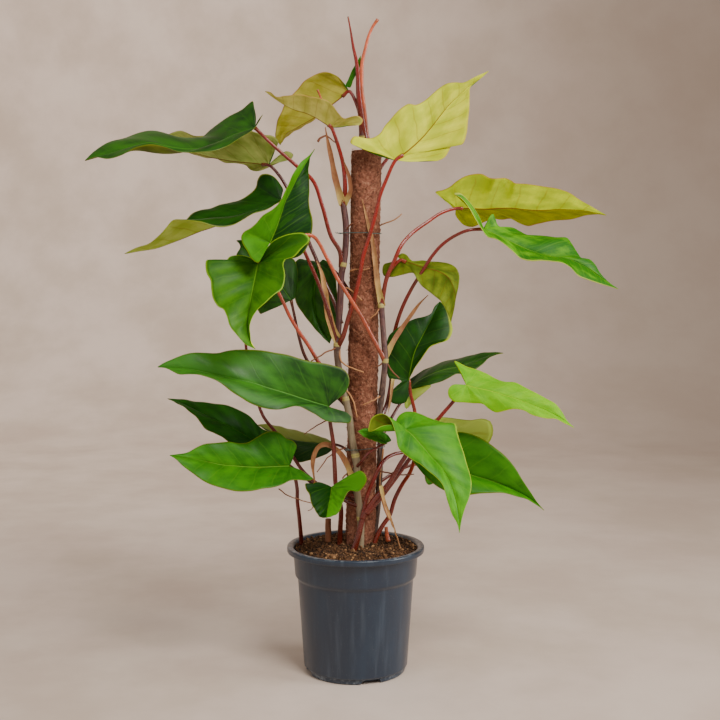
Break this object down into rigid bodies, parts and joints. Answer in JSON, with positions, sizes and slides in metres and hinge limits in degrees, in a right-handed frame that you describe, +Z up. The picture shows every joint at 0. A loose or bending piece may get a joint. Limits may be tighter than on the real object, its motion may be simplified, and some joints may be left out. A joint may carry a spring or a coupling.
{
  "type": "potted climbing house plant",
  "caption": "Climbing philodendron with arrow-shaped glossy leaves on red stalks, tied to a coir pole in a round plastic nursery pot filled with soil.",
  "frame": {"origin": "middle of the pot's underside, where the flat hub of its floor rests", "axes": "+Z up along the pot's axis, +X to the viewer's right, -Y to the front"},
  "size_m": [0.6861, 0.3206, 0.8921],
  "materials": {
    "pot": "satin",
    "soil": "matte",
    "pole": "matte",
    "tie_wire": "satin",
    "stem": "satin",
    "leaf_dark": "satin",
    "leaf_mid": "satin",
    "leaf_lime": "satin",
    "leaf_yellow": "satin",
    "leaf_olive": "satin"
  },
  "bodies": {
    "root": {"vine_left": "stem", "vine_right": "stem", "vine_back": "stem", "shoot_left_broad": "stem", "shoot_low_left": "stem", "shoots_low_right": "stem", "shoot_right_rolled": "stem", "leaf_upper_left": "leaf_dark", "leaf_upper_left_behind": "leaf_olive", "leaf_left_curled": "leaf_dark", "leaf_centre_upright": "leaf_mid", "leaf_lime_hanging": "leaf_lime", "leaf_dark_tucked": "leaf_dark", "leaf_dark_by_pole": "leaf_dark", "leaf_left_broad": "leaf_dark", "leaf_low_left_behind": "leaf_dark", "leaf_low_left_front": "leaf_mid", "leaf_small_curled": "leaf_mid", "leaf_low_strip": "leaf_dark", "leaf_top_behind": "leaf_olive", "leaf_top_front": "leaf_olive", "leaf_upper_right": "leaf_yellow", "leaf_right_high": "leaf_olive", "leaf_right_wavy": "leaf_mid", "leaf_right_arching": "leaf_yellow", "leaf_right_rolled": "leaf_mid", "leaf_right_narrow": "leaf_dark", "leaf_right_lime": "leaf_lime", "leaf_low_right_front": "leaf_mid", "leaf_small_low": "leaf_mid", "leaf_low_right_behind": "leaf_dark", "leaf_back_1": "leaf_dark", "leaf_back_2": "leaf_mid", "leaf_back_3": "leaf_dark", "leaf_back_4": "leaf_mid", "tie_lower": "tie_wire", "tie_upper": "tie_wire", "pole": "pole", "soil": "soil", "pot": "pot"}
  },
  "joints": []
}
